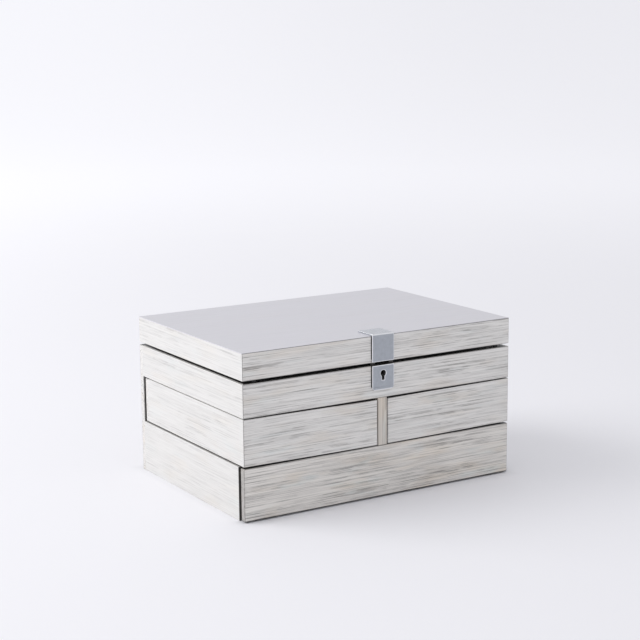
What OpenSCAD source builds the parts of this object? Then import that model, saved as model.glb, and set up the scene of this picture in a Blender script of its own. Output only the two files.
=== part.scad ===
// Jewellery chest: a lift-up lid over a lined tray, two drawers that swing out on
// corner pins, and a full-width drawer below. X runs to the right, Y to the back
// and Z up. The origin is the middle of the footprint, on the surface below.

/* [Overall] */
// Width of the chest
case_w = 305; // [250:1:370]
// Depth of the chest, from the drawer front to the back panel
case_d = 217; // [175:1:265]

/* [Tiers] */
// Height of the bottom drawer's front
drawer_front_h = 50.6; // [40:0.1:80]
// Height of the two swing drawers
swing_h = 44.7; // [35:0.1:70]
// Height of the tray's rails
tray_h = 32.1; // [31:0.1:50]
// Height of the lid
lid_h = 26; // [21:0.1:40]
// Gap above and below the swing drawers
tier_gap = 1.4; // [1.2:0.1:2.5]
// Shadow gap between the tray and the lid
lid_gap = 3; // [2.8:0.1:4]
// Gap between the drawer front and the surface below
toe_gap = 1.2; // [0.8:0.1:3]

/* [Boards] */
// Thickness of the tray, lid and lower side boards
rail_t = 9; // [8.5:0.1:12]
// Depth of the rebates for the deck and the tray floor
rebate = 4; // [3:0.1:5]
// Thickness of the back panel
back_t = 6.5; // [5.5:0.1:10]
// Thickness of the base panel and the tray floor
floor_t = 4; // [3:0.1:6]
// Thickness of the deck under the swing drawers
deck_t = 6; // [4:0.1:9]
// Thickness of the centre partition
post_w = 10; // [8:0.1:16]
// Thickness of the lid's core panel
lid_panel_t = 6; // [4:0.1:9]
// Thickness of the veneer over the lid
veneer_t = 0.6; // [0.4:0.1:1.2]
// Thickness of the felt under the base
felt_t = 0.8; // [0.5:0.1:2]

/* [Swing drawers] */
// Thickness of each swing drawer's front and outer side
swing_wall_t = 8; // [7:0.1:8.5]
// Thickness of each swing drawer's inner side
swing_inner_t = 6; // [4:0.1:9]
// Thickness of each swing drawer's rear board
swing_rear_t = 6.5; // [5:0.1:8]
// Thickness of each swing drawer's bottom
swing_floor_t = 3; // [2:0.1:5]
// Height of the bottom above the drawer's lower edge
swing_floor_up = 1; // [0.5:0.1:3]
// How far the free end hangs below level and the pinned end stands above
sag = 0.6; // [0:0.1:0.7]
// Diameter of the pivot pins
pivot_d = 4; // [3:0.1:4.5]
// Distance from the outer face to the pivot
pivot_in = 11; // [10.5:0.1:13]
// Distance from the rear face to the pivot
pivot_fwd = 12; // [11:0.1:15]
// Width of the square block that the pin passes through
block_w = 14; // [12:0.1:20]
// Diameter of the washers under the swing drawers
washer_d = 10; // [8:0.1:12]
// Room left around the corner as the drawer turns
turn_clear = 0.92; // [0.5:0.01:3]
// Room left at the free end as the drawer turns
end_clear = 0.37; // [0.3:0.01:1.5]

/* [Bottom drawer] */
// Thickness of the drawer's front
front_t = 6.6; // [5:0.1:10]
// Finger slot behind the front
finger_slot = 4.2; // [4:0.1:8]
// Thickness of the drawer's sides and back
box_wall_t = 6; // [4:0.1:9]
// Thickness of the drawer's bottom
box_floor_t = 3; // [2:0.1:5]
// Height of the bottom above the sides' lower edge
box_floor_up = 1; // [0.5:0.1:3]
// Clearance at each side of the drawer
box_side_clear = 1; // [0.5:0.1:2]
// Clearance over the drawer's sides
box_top_clear = 3; // [2:0.1:6]
// Clearance behind the drawer when it is shut
box_rear_clear = 0.4; // [0.3:0.1:2]
// Length of the drawer that stays inside when it is open
box_kept = 49.3; // [30:0.1:80]
// Width of the runner strips
runner_w = 10; // [6:0.1:16]
// Thickness of the runner strips
runner_t = 1; // [0.5:0.1:3]
// Width of the stop block under the deck
stop_w = 30; // [15:1:60]
// Depth of the stop block
stop_d = 8; // [5:0.1:12]
// Overlap of the stop block with the drawer's back
stop_catch = 2; // [1:0.1:4]

/* [Linings] */
// Thickness of the velvet-covered cards
card_t = 1.5; // [1:0.1:3]
// Gap between neighbouring cards
card_gap = 0.2; // [0.1:0.1:0.5]
// How far the cards stop below the walls
card_drop = 3; // [2:0.1:6]
// Thickness of the tray's dividers
divider_t = 4; // [3:0.1:6]
// Height of the tray's dividers
divider_h = 19; // [12:0.1:21]
// Depth of the tray's rear compartment
rear_bay_d = 73; // [50:1:90]
// Width of the ring bay
ring_bay_w = 96; // [60:1:110]
// Diameter of each ring roll
roll_d = 15; // [12:0.1:18]
// Gap between the ring rolls
roll_gap = 0.8; // [0.6:0.1:2]
// Gap around the ends and under the ring rolls
roll_clear = 0.3; // [0.3:0.1:1]

/* [Mirror] */
// Width of the mirror
mirror_w = 200; // [100:1:205]
// Height of the mirror
mirror_h = 120; // [60:1:130]
// Thickness of the mirror
mirror_t = 2.5; // [2:0.1:4]
// Width of the strips around the mirror
bezel_w = 8; // [4:0.1:12]
// Thickness of the strips around the mirror
bezel_t = 3.5; // [3:0.1:5]

/* [Hinges] */
// Length of each hinge
hinge_w = 30; // [24:0.1:45]
// Distance from the chest's side to the middle of each hinge
hinge_inset = 60; // [30:1:80]
// Thickness of the hinge leaves
leaf_t = 1.2; // [0.9:0.1:1.3]
// How far the leaves reach in from the back
leaf_reach = 8; // [7:0.1:10]
// Outer diameter of the knuckles
knuckle_d = 4.4; // [4:0.1:6]
// Diameter of the hinge pins
hinge_pin_d = 2; // [1.5:0.1:2.4]
// Gap between the leaves' plates and the knuckles they pass
knuckle_clear = 0.3; // [0.2:0.05:0.5]

/* [Strap and keyhole plate] */
// Width of the strap and of the keyhole plate
strap_w = 25; // [18:0.1:40]
// Thickness of the strap and of the keyhole plate
strap_t = 1.6; // [1:0.1:2.5]
// Length of the strap's leg on the lid's top
strap_leg = 23.5; // [10:0.1:40]
// Height of the strap's end above the lid's lower edge
strap_lift = 0.4; // [0:0.1:2]
// Height of the keyhole plate
plate_h = 24.1; // [18:0.1:30]
// Radius of the keyhole plate's lower corners
plate_r = 3.5; // [1:0.1:6]
// Radius of the keyhole's round part
key_r = 3.1; // [2:0.1:4]
// Depth of the keyhole's centre below the rail's top edge
key_drop = 8.1; // [7:0.1:10]
// Width of the keyhole's slot
key_slot_w = 3; // [2:0.1:4]
// Length of the keyhole's slot below its centre
key_slot_l = 6.6; // [5:0.1:8]

/* [Lock] */
// Width of the lock case
lock_w = 40; // [39:0.1:50]
// Depth of the lock case
lock_d = 5.5; // [5:0.1:6]
// Height of the lock case
lock_h = 20.4; // [20:0.1:24]
// Thickness of the lock case's walls
lock_wall = 1.2; // [1:0.1:1.5]
// Width of the plate on top of the lock
selvedge_w = 52; // [48:0.1:70]
// Thickness of the plate on top of the lock and of the link plate
selvedge_t = 1.5; // [1.2:0.1:2]
// Thickness of the bolt
bolt_t = 1.7; // [1.2:0.1:1.8]
// Travel of the bolt
bolt_travel = 3.2; // [2:0.1:3.3]
// Thickness of the link plate's tabs
tab_t = 1.6; // [1.2:0.1:1.8]
// Diameter of the key post
key_post_d = 1.6; // [1.2:0.1:2]

/* [Fasteners and bumpers] */
// Diameter of the screws' heads
screw_head_d = 3.6; // [3:0.1:4]
// Thickness of the screws' heads
screw_head_t = 0.7; // [0.5:0.1:0.8]
// Diameter of the screws' shanks
screw_d = 2; // [1.5:0.1:2.5]
// Length of the screws
screw_l = 10; // [6:0.1:12]
// Diameter of the lid's bumpers
bumper_d = 5; // [4:0.1:7]

/* [Hidden] */
$fn = 48;

// Colours
silvered_wood = [0.78, 0.77, 0.75];
inner_wood = [0.70, 0.64, 0.55];
velvet = [0.33, 0.35, 0.39];
felt = [0.16, 0.16, 0.17];
satin_metal = [0.57, 0.60, 0.64];
lock_steel = [0.66, 0.66, 0.64];
glass = [0.85, 0.88, 0.90];
rubber = [0.08, 0.08, 0.08];
nylon = [0.90, 0.89, 0.86];

// Clearances
pin_clear = 0.05;       // around a pin or a shank in its hole
pocket_clear = 0.1;     // around hardware let into wood
run_clear = 0.2;        // over a washer, a runner or a bumper
post_lift = 0.5;        // between the drawer front and the partition's nose
tooth_gap = 0.3;        // between the bolt's teeth and the tabs
tooth_clear = 0.5;      // around a tooth in its notch and a tab in its slot
cut = 1;                // overrun of every cutting shape

// Small features
screw_slot_w = 0.5;
screw_slot_d = 0.35;
cavity_side = 2;        // thickness of the lock case's ends
tab_xs = [-10, 11.5];   // left edges of the link plate's tabs
tab_w = 5;
tab_reach = 2.3;        // how far the tabs reach below the keyhole's centre
tab_lip = 2.5;          // height of a tab's hook below its notch
notch_h = 4;
bolt_up = 2;            // height of the bolt above the cavity's floor
bolt_bar_h = 4.4;
bolt_post_w = 1.8;
link_w = 44;            // width of the link plate

// Case faces
x_out = case_w / 2;
x_in = x_out - rail_t;
y_front = -case_d / 2;
y_back = case_d / 2;
y_panel = y_back - back_t;
y_slot = y_front + front_t;
y_lower = y_slot + finger_slot;

// Heights of the tiers
drawer_z1 = toe_gap + drawer_front_h;
deck_z0 = drawer_z1 - deck_t;
swing_z0 = drawer_z1 + tier_gap;
swing_z1 = swing_z0 + swing_h;
tray_z0 = swing_z1 + tier_gap;
tray_z1 = tray_z0 + tray_h;
tray_floor_z1 = tray_z0 + floor_t;
lid_z0 = tray_z1 + lid_gap;
lid_z1 = lid_z0 + lid_h;
lid_core_z1 = lid_z1 - veneer_t;
lid_panel_z0 = lid_core_z1 - lid_panel_t;
base_z1 = felt_t + floor_t;

// Left swing drawer; the right one is its mirror image
corner_sweep = norm([pivot_in, pivot_fwd]) - pivot_fwd;
rear_gap = corner_sweep + turn_clear;
free_reach = x_out - post_w / 2 - pivot_in;
end_sweep = norm([free_reach, pivot_fwd]) - free_reach;
post_gap = end_sweep + end_clear;
swing_x0 = -x_out;
swing_x1 = -post_w / 2 - post_gap;
swing_y1 = y_panel - rear_gap;
pivot_x = swing_x0 + pivot_in;
pivot_y = swing_y1 - pivot_fwd;
block_x0 = swing_x0 + swing_wall_t;
block_x1 = block_x0 + block_w;
block_y1 = swing_y1 - swing_rear_t;
block_y0 = block_y1 - block_w;
swing_floor_z1 = swing_z0 + swing_floor_up + swing_floor_t;
function lift(x) = sag * (1 - 2 * (x - swing_x0) / (swing_x1 - swing_x0));

// Bottom drawer
box_x1 = x_in - box_side_clear;
box_x0 = box_x1 - box_wall_t;
box_y1 = y_panel - box_rear_clear;
box_y0 = box_y1 - box_wall_t;
box_z0 = base_z1 + runner_t + run_clear;
box_z1 = deck_z0 - box_top_clear;
box_floor_z1 = box_z0 + box_floor_up + box_floor_t;
box_travel = box_y1 - y_lower - box_kept;
stop_y1 = box_y0 - box_travel - run_clear;

// Tray and lid interiors
tray_y0 = y_front + rail_t;
tray_y1 = y_panel - rail_t;
tray_card_z1 = tray_floor_z1 + card_t;
divider_y1 = tray_y1 - card_t - card_gap - rear_bay_d;
divider_y0 = divider_y1 - divider_t;
ring_y0 = tray_y0 + card_t + card_gap;
roll_pitch = roll_d + roll_gap;
roll_count = floor((divider_y0 - ring_y0 - roll_gap) / roll_pitch);
roll_y0 = (ring_y0 + divider_y0 - (roll_count - 1) * roll_pitch) / 2;
lid_card_z0 = lid_panel_z0 - card_t;

// Hinges
hinge_xs = [-x_out + hinge_inset, x_out - hinge_inset];
hinge_y = y_back + knuckle_d / 2;
hinge_z = tray_z1 + lid_gap / 2;
knuckle_w = (hinge_w - 2 * knuckle_clear) / 3;
leaf_edge = y_back - knuckle_clear;
hinge_screw_y = y_back - leaf_reach / 2;
hinge_screw_pitch = hinge_w / 3;

// Lock
lock_y = y_front + rail_t - lock_d / 2;
lock_z0 = tray_z1 - lock_h;
key_z = tray_z1 - key_drop;
cavity_w = lock_w - 2 * cavity_side;
cavity_d = lock_d - 2 * lock_wall;
cavity_z0 = lock_z0 + lock_wall;
cavity_z1 = tray_z1 - selvedge_t;
tab_z0 = key_z - tab_reach;
notch_d = bolt_travel + run_clear;
notch_z0 = tab_z0 + tab_lip;
notch_z1 = notch_z0 + notch_h;
bolt_z0 = cavity_z0 + bolt_up;
bolt_z1 = notch_z1 - tooth_clear;
bolt_xs = [for (x = tab_xs) x - tooth_gap - bolt_travel];
lock_screw_x = (lock_w + selvedge_w) / 4;
link_screw_x = (tab_xs[1] + tab_w + link_w / 2) / 2;

// ---------- shared shapes ----------

module board(x0, x1, y0, y1, z0, z1) {
    translate([x0, y0, z0])
        cube([x1 - x0, y1 - y0, z1 - z0]);
}

// A board whose plan is a polygon
module plan_board(points, z0, z1) {
    translate([0, 0, z0])
        linear_extrude(z1 - z0)
            polygon(points);
}

// A board of the left swing drawer, lower at its free end
module sagged_board(x0, x1, y0, y1, z0, z1) {
    translate([0, y1, 0])
        rotate([90, 0, 0])
            linear_extrude(y1 - y0)
                polygon([
                    [x0, z0 + lift(x0)], [x1, z0 + lift(x1)],
                    [x1, z1 + lift(x1)], [x0, z1 + lift(x0)]
                ]);
}

module on_right() {
    mirror([1, 0, 0])
        children();
}

// Velvet-covered cards on four walls, with the floor card between them
module wall_cards(x0, x1, y0, y1, z0, z1) {
    board(x0, x1, y0, y0 + card_t, z0, z1);
    board(x0, x1, y1 - card_t, y1, z0, z1);
    board(x0, x0 + card_t, y0 + card_t + card_gap, y1 - card_t - card_gap, z0, z1);
    board(x1 - card_t, x1, y0 + card_t + card_gap, y1 - card_t - card_gap, z0, z1);
}

module card_box(x0, x1, y0, y1, z0, z1) {
    color(velvet) {
        board(x0, x1, y0, y1, z0, z0 + card_t);
        wall_cards(x0, x1, y0, y1, z0 + card_t + card_gap, z1);
    }
}

// Screw with its head's top at the origin, pointing down
module screw() {
    difference() {
        union() {
            translate([0, 0, -screw_head_t])
                cylinder(d = screw_head_d, h = screw_head_t);
            translate([0, 0, -screw_l])
                cylinder(d = screw_d, h = screw_l);
        }
        translate([-screw_head_d, -screw_slot_w / 2, -screw_slot_d])
            cube([2 * screw_head_d, screw_slot_w, cut]);
    }
}

// Room for a screw, its head flush with the surface it is set in
module screw_hole() {
    translate([0, 0, -screw_head_t])
        cylinder(d = screw_head_d + 2 * pocket_clear, h = screw_head_t + cut);
    translate([0, 0, -screw_l])
        cylinder(d = screw_d + 2 * pin_clear, h = screw_l + cut);
}

module at_hinge_screws(z) {
    for (x = hinge_xs)
        for (i = [-1:1])
            translate([x + i * hinge_screw_pitch, hinge_screw_y, z])
                children();
}

module at_lock_screws(offset_x, z) {
    for (s = [-1, 1])
        translate([s * offset_x, lock_y, z])
            children();
}

module facing_down() {
    mirror([0, 0, 1])
        children();
}

// ---------- case ----------

module back_panel() {
    color(silvered_wood)
        difference() {
            board(-x_out, x_out, y_panel, y_back, 0, tray_z1);
            at_hinge_screws(tray_z1 + leaf_t)
                screw_hole();
        }
}

module keyhole_cut(y0, y1, spare) {
    translate([0, y1, key_z])
        rotate([90, 0, 0])
            cylinder(r = key_r + spare, h = y1 - y0);
    board(-key_slot_w / 2 - spare, key_slot_w / 2 + spare, y0, y1,
          key_z - key_slot_l - spare, key_z);
}

module tray_front_rail() {
    color(silvered_wood)
        difference() {
            plan_board([[-x_out, y_front], [x_out, y_front], [x_in, tray_y0], [-x_in, tray_y0]],
                       tray_z0, tray_z1);
            board(-x_out, x_out, tray_y0 - rebate, tray_y0 + cut, tray_z0 - cut, tray_floor_z1);
            board(-lock_w / 2 - pocket_clear, lock_w / 2 + pocket_clear,
                  tray_y0 - lock_d - pocket_clear, tray_y0 + cut,
                  lock_z0 - pocket_clear, tray_z1 + cut);
            board(-selvedge_w / 2 - pocket_clear, selvedge_w / 2 + pocket_clear,
                  tray_y0 - lock_d - pocket_clear, tray_y0 + cut,
                  tray_z1 - selvedge_t, tray_z1 + cut);
            keyhole_cut(y_front - cut, tray_y0, pocket_clear);
            at_lock_screws(lock_screw_x, tray_z1)
                screw_hole();
        }
}

module tray_left_side() {
    color(silvered_wood)
        difference() {
            plan_board([[-x_out, y_front], [-x_in, tray_y0], [-x_in, y_panel], [-x_out, y_panel]],
                       tray_z0, tray_z1);
            board(-x_in - rebate, -x_in + cut, tray_y0 - rebate, y_panel + cut,
                  tray_z0 - cut, tray_floor_z1);
        }
}

module tray_right_side() {
    on_right() tray_left_side();
}

module tray_back_rail() {
    color(silvered_wood)
        board(-x_in, x_in, tray_y1, y_panel, tray_floor_z1, tray_z1);
}

module at_pivots(z) {
    for (s = [-1, 1])
        translate([s * pivot_x, pivot_y, z])
            children();
}

module tray_floor() {
    color(inner_wood)
        difference() {
            board(-x_in - rebate, x_in + rebate, tray_y0 - rebate, y_panel, tray_z0, tray_floor_z1);
            at_pivots(tray_z0 - cut)
                cylinder(d = pivot_d + 2 * pin_clear, h = floor_t + 2 * cut);
        }
}

module centre_partition() {
    color(silvered_wood)
        difference() {
            board(-post_w / 2, post_w / 2, y_front, y_panel, drawer_z1, tray_z0);
            board(-post_w, post_w, y_front - cut, y_lower, drawer_z1 - cut, drawer_z1 + post_lift);
        }
}

module deck_panel() {
    color(inner_wood)
        difference() {
            board(-x_in - rebate, x_in + rebate, y_lower, y_panel, deck_z0, drawer_z1);
            at_pivots(deck_z0 - cut)
                cylinder(d = pivot_d + 2 * pin_clear, h = deck_t + 2 * cut);
        }
}

module lower_left_side() {
    color(silvered_wood)
        difference() {
            board(-x_out, -x_in, y_lower, y_panel, 0, drawer_z1);
            board(-x_in - rebate, -x_in + cut, y_lower - cut, y_panel + cut,
                  deck_z0, drawer_z1 + cut);
        }
}

module lower_right_side() {
    on_right() lower_left_side();
}

module bottom_panel() {
    color(inner_wood)
        board(-x_in, x_in, y_lower, y_panel, felt_t, base_z1);
}

module base_felt() {
    color(felt)
        board(-x_in, x_in, y_lower, y_panel, 0, felt_t);
}

module drawer_runners() {
    color(nylon)
        for (s = [-1, 1])
            translate([s * (box_x1 - runner_w / 2), 0, 0])
                board(-runner_w / 2, runner_w / 2, y_lower, y_panel, base_z1, base_z1 + runner_t);
}

module drawer_stop() {
    color(inner_wood)
        board(-stop_w / 2, stop_w / 2, stop_y1 - stop_d, stop_y1, box_z1 - stop_catch, deck_z0);
}

module lid_bumpers() {
    color(rubber)
        for (s = [-1, 1])
            translate([s * (x_in - bumper_d), y_front + rail_t / 2, tray_z1])
                cylinder(d = bumper_d, h = lid_gap - run_clear);
}

// ---------- tray interior ----------

module tray_lining() {
    card_box(-x_in, x_in, tray_y0, tray_y1, tray_floor_z1, tray_z1 - card_drop);
}

module tray_dividers() {
    inner_x = x_in - card_t - card_gap;
    ring_x = ring_bay_w / 2;
    color(velvet) {
        board(-inner_x, inner_x, divider_y0, divider_y1, tray_card_z1, tray_card_z1 + divider_h);
        for (s = [-1, 1])
            translate([s * (ring_x + divider_t / 2), 0, 0])
                board(-divider_t / 2, divider_t / 2, ring_y0, divider_y0 - card_gap,
                      tray_card_z1, tray_card_z1 + divider_h);
    }
}

module ring_rolls() {
    roll_l = ring_bay_w - 2 * roll_clear;
    color(velvet)
        for (i = [0:roll_count - 1])
            translate([-roll_l / 2, roll_y0 + i * roll_pitch, tray_card_z1 + roll_clear + roll_d / 2])
                rotate([0, 90, 0])
                    cylinder(d = roll_d, h = roll_l);
}

// ---------- hinges ----------

module knuckle(x0, x1) {
    translate([x0, hinge_y, hinge_z])
        rotate([0, 90, 0])
            cylinder(d = knuckle_d, h = x1 - x0);
}

module hinge_pin_bores() {
    for (x = hinge_xs)
        translate([x - hinge_w / 2 - cut, hinge_y, hinge_z])
            rotate([0, 90, 0])
                cylinder(d = hinge_pin_d + 2 * pin_clear, h = hinge_w + 2 * cut);
}

module hinge_case_leaves() {
    color(satin_metal)
        difference() {
            for (x = hinge_xs) {
                board(x - hinge_w / 2, x + hinge_w / 2, y_back - leaf_reach, leaf_edge,
                      tray_z1, tray_z1 + leaf_t);
                for (s = [-1, 1])
                    translate([x + s * (hinge_w - knuckle_w) / 2, 0, 0]) {
                        board(-knuckle_w / 2, knuckle_w / 2, leaf_edge, hinge_y,
                              tray_z1, tray_z1 + leaf_t);
                        knuckle(-knuckle_w / 2, knuckle_w / 2);
                    }
            }
            hinge_pin_bores();
            at_hinge_screws(tray_z1 + leaf_t)
                screw_hole();
        }
}

module hinge_lid_leaves() {
    color(satin_metal)
        difference() {
            for (x = hinge_xs) {
                board(x - hinge_w / 2, x + hinge_w / 2, y_back - leaf_reach, leaf_edge,
                      lid_z0 - leaf_t, lid_z0);
                board(x - knuckle_w / 2, x + knuckle_w / 2, leaf_edge, hinge_y,
                      lid_z0 - leaf_t, lid_z0);
                knuckle(x - knuckle_w / 2, x + knuckle_w / 2);
            }
            hinge_pin_bores();
            at_hinge_screws(lid_z0 - leaf_t)
                facing_down() screw_hole();
        }
}

module hinge_pins() {
    color(satin_metal)
        for (x = hinge_xs)
            translate([x - hinge_w / 2, hinge_y, hinge_z])
                rotate([0, 90, 0])
                    cylinder(d = hinge_pin_d, h = hinge_w);
}

module case_screws() {
    color(lock_steel) {
        at_hinge_screws(tray_z1 + leaf_t)
            screw();
        at_lock_screws(lock_screw_x, tray_z1)
            screw();
    }
}

module lid_screws() {
    color(lock_steel) {
        at_hinge_screws(lid_z0 - leaf_t)
            facing_down() screw();
        at_lock_screws(link_screw_x, lid_z0)
            facing_down() screw();
    }
}

// ---------- strap, keyhole plate and lock ----------

module keyhole_plate() {
    plate_z0 = tray_z1 - plate_h;
    color(satin_metal)
        difference() {
            translate([0, y_front, 0])
                rotate([90, 0, 0])
                    linear_extrude(strap_t) {
                        translate([-strap_w / 2, plate_z0 + plate_r])
                            square([strap_w, plate_h - plate_r]);
                        translate([-strap_w / 2 + plate_r, plate_z0])
                            square([strap_w - 2 * plate_r, 2 * plate_r]);
                        for (s = [-1, 1])
                            translate([s * (strap_w / 2 - plate_r), plate_z0 + plate_r])
                                circle(r = plate_r);
                    }
            keyhole_cut(y_front - strap_t - cut, y_front + cut, 0);
        }
}

module lid_strap() {
    color(satin_metal)
        translate([-strap_w / 2, 0, 0])
            rotate([90, 0, 90])
                linear_extrude(strap_w) {
                    translate([y_front - strap_t, lid_z0 + strap_lift])
                        square([strap_t, lid_h - strap_lift]);
                    translate([y_front, lid_z1])
                        square([strap_leg, strap_t]);
                    intersection() {
                        translate([y_front, lid_z1])
                            circle(r = strap_t);
                        translate([y_front - strap_t, lid_z1])
                            square(strap_t);
                    }
                }
}

module lock_case() {
    color(lock_steel)
        difference() {
            union() {
                board(-lock_w / 2, lock_w / 2, lock_y - lock_d / 2, lock_y + lock_d / 2,
                      lock_z0, tray_z1);
                board(-selvedge_w / 2, selvedge_w / 2, lock_y - lock_d / 2, lock_y + lock_d / 2,
                      tray_z1 - selvedge_t, tray_z1);
            }
            board(-cavity_w / 2, cavity_w / 2, lock_y - cavity_d / 2, lock_y + cavity_d / 2,
                  cavity_z0, cavity_z1);
            for (x = tab_xs)
                board(x - tooth_clear, x + tab_w + tooth_clear,
                      lock_y - cavity_d / 2, lock_y + cavity_d / 2, cavity_z1 - cut, tray_z1 + cut);
            keyhole_cut(lock_y - lock_d / 2 - cut, lock_y, 0);
            translate([0, lock_y + lock_d / 2 + cut, key_z])
                rotate([90, 0, 0])
                    cylinder(d = key_post_d + 2 * pin_clear, h = lock_d / 2);
            at_lock_screws(lock_screw_x, tray_z1)
                screw_hole();
        }
}

module lock_key_post() {
    color(lock_steel)
        translate([0, lock_y + lock_d / 2, key_z])
            rotate([90, 0, 0])
                cylinder(d = key_post_d, h = lock_d);
}

// A bar with two posts, each with a tooth that slides into a tab's notch
module lock_bolt() {
    y0 = lock_y - bolt_t / 2;
    y1 = lock_y + bolt_t / 2;
    color(lock_steel)
        difference() {
            union() {
                board(bolt_xs[0] - bolt_post_w, bolt_xs[1], y0, y1, bolt_z0, bolt_z0 + bolt_bar_h);
                for (x = bolt_xs) {
                    board(x - bolt_post_w, x, y0, y1, bolt_z0, bolt_z1);
                    board(x - bolt_post_w, x + bolt_travel, y0, y1, notch_z0 + tooth_clear, bolt_z1);
                }
            }
            board(-key_r, key_r, y0 - cut, y1 + cut,
                  bolt_z0 + bolt_bar_h / 2, bolt_z0 + bolt_bar_h + cut);
        }
}

module lock_link_plate() {
    color(lock_steel)
        difference() {
            union() {
                board(-link_w / 2, link_w / 2, lock_y - lock_d / 2, lock_y + lock_d / 2,
                      lid_z0, lid_z0 + selvedge_t);
                for (x = tab_xs)
                    board(x, x + tab_w, lock_y - tab_t / 2, lock_y + tab_t / 2, tab_z0, lid_z0 + cut);
            }
            for (x = tab_xs)
                board(x - cut, x + notch_d, lock_y - tab_t, lock_y + tab_t, notch_z0, notch_z1);
            at_lock_screws(link_screw_x, lid_z0)
                facing_down() screw_hole();
        }
}

// ---------- lid ----------

module lid_front_rail() {
    color(silvered_wood)
        difference() {
            plan_board([[-x_out, y_front], [x_out, y_front], [x_in, tray_y0], [-x_in, tray_y0]],
                       lid_z0, lid_core_z1);
            board(-link_w / 2 - pocket_clear, link_w / 2 + pocket_clear,
                  tray_y0 - lock_d - pocket_clear, tray_y0 + cut, lid_z0 - cut, lid_z0 + selvedge_t);
            at_lock_screws(link_screw_x, lid_z0)
                facing_down() screw_hole();
        }
}

module lid_back_rail() {
    color(silvered_wood)
        difference() {
            plan_board([[-x_out, y_back], [-x_in, y_back - rail_t], [x_in, y_back - rail_t], [x_out, y_back]],
                       lid_z0, lid_core_z1);
            at_hinge_screws(lid_z0 - leaf_t)
                facing_down() screw_hole();
        }
}

module lid_left_rail() {
    color(silvered_wood)
        plan_board([[-x_out, y_front], [-x_in, tray_y0], [-x_in, y_back - rail_t], [-x_out, y_back]],
                   lid_z0, lid_core_z1);
}

module lid_right_rail() {
    on_right() lid_left_rail();
}

module lid_top_panel() {
    color(inner_wood)
        board(-x_in, x_in, tray_y0, y_back - rail_t, lid_panel_z0, lid_core_z1);
}

module lid_top_veneer() {
    color(silvered_wood)
        board(-x_out, x_out, y_front, y_back, lid_core_z1, lid_z1);
}

module lid_lining() {
    color(velvet) {
        board(-x_in, x_in, tray_y0, y_back - rail_t, lid_card_z0, lid_panel_z0);
        wall_cards(-x_in, x_in, tray_y0, y_back - rail_t, lid_z0 + card_drop, lid_card_z0 - card_gap);
    }
}

module lid_mirror() {
    color(glass)
        board(-mirror_w / 2, mirror_w / 2, -mirror_h / 2, mirror_h / 2,
              lid_card_z0 - mirror_t, lid_card_z0);
}

module mirror_bezel() {
    color(satin_metal)
        difference() {
            board(-mirror_w / 2 - bezel_w, mirror_w / 2 + bezel_w,
                  -mirror_h / 2 - bezel_w, mirror_h / 2 + bezel_w,
                  lid_card_z0 - bezel_t, lid_card_z0);
            board(-mirror_w / 2 - pin_clear, mirror_w / 2 + pin_clear,
                  -mirror_h / 2 - pin_clear, mirror_h / 2 + pin_clear,
                  lid_card_z0 - bezel_t - cut, lid_card_z0 + cut);
        }
}

// ---------- swing drawers ----------

module swing_pins() {
    color(lock_steel)
        at_pivots(deck_z0)
            cylinder(d = pivot_d, h = tray_floor_z1 - deck_z0);
}

module swing_washers() {
    color(nylon)
        at_pivots(drawer_z1)
            difference() {
                cylinder(d = washer_d, h = tier_gap + lift(pivot_x) - run_clear);
                translate([0, 0, -cut])
                    cylinder(d = pivot_d + 2 * pin_clear, h = tier_gap + sag + 2 * cut);
            }
}

module left_drawer_front() {
    color(silvered_wood)
        intersection() {
            sagged_board(swing_x0, swing_x1, y_front, y_front + swing_wall_t, swing_z0, swing_z1);
            plan_board([[swing_x0, y_front], [swing_x1, y_front], [swing_x1, y_front + swing_wall_t],
                        [block_x0, y_front + swing_wall_t]],
                       swing_z0 - cut, swing_z1 + cut);
        }
}

module left_drawer_outer_side() {
    color(silvered_wood)
        intersection() {
            sagged_board(swing_x0, block_x0, y_front, block_y1, swing_z0, swing_z1);
            plan_board([[swing_x0, y_front], [block_x0, y_front + swing_wall_t],
                        [block_x0, block_y1], [swing_x0, block_y1]],
                       swing_z0 - cut, swing_z1 + cut);
        }
}

module left_drawer_inner_side() {
    color(silvered_wood)
        sagged_board(swing_x1 - swing_inner_t, swing_x1, y_front + swing_wall_t, block_y1,
                     swing_z0, swing_z1);
}

module left_drawer_rear() {
    color(silvered_wood)
        sagged_board(swing_x0, swing_x1, block_y1, swing_y1, swing_z0, swing_z1);
}

module left_drawer_bottom() {
    color(inner_wood)
        difference() {
            sagged_board(block_x0, swing_x1 - swing_inner_t, y_front + swing_wall_t, block_y1,
                         swing_z0 + swing_floor_up, swing_floor_z1);
            board(block_x0 - cut, block_x1, block_y0, block_y1 + cut, swing_z0 - cut, swing_z1);
        }
}

module left_pivot_block() {
    color(inner_wood)
        difference() {
            board(block_x0, block_x1, block_y0, block_y1,
                  swing_z0 + lift(pivot_x), swing_z1 + lift(block_x1));
            translate([pivot_x, pivot_y, swing_z0 - cut])
                cylinder(d = pivot_d + 2 * pin_clear, h = swing_h + 2 * cut);
        }
}

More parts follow.
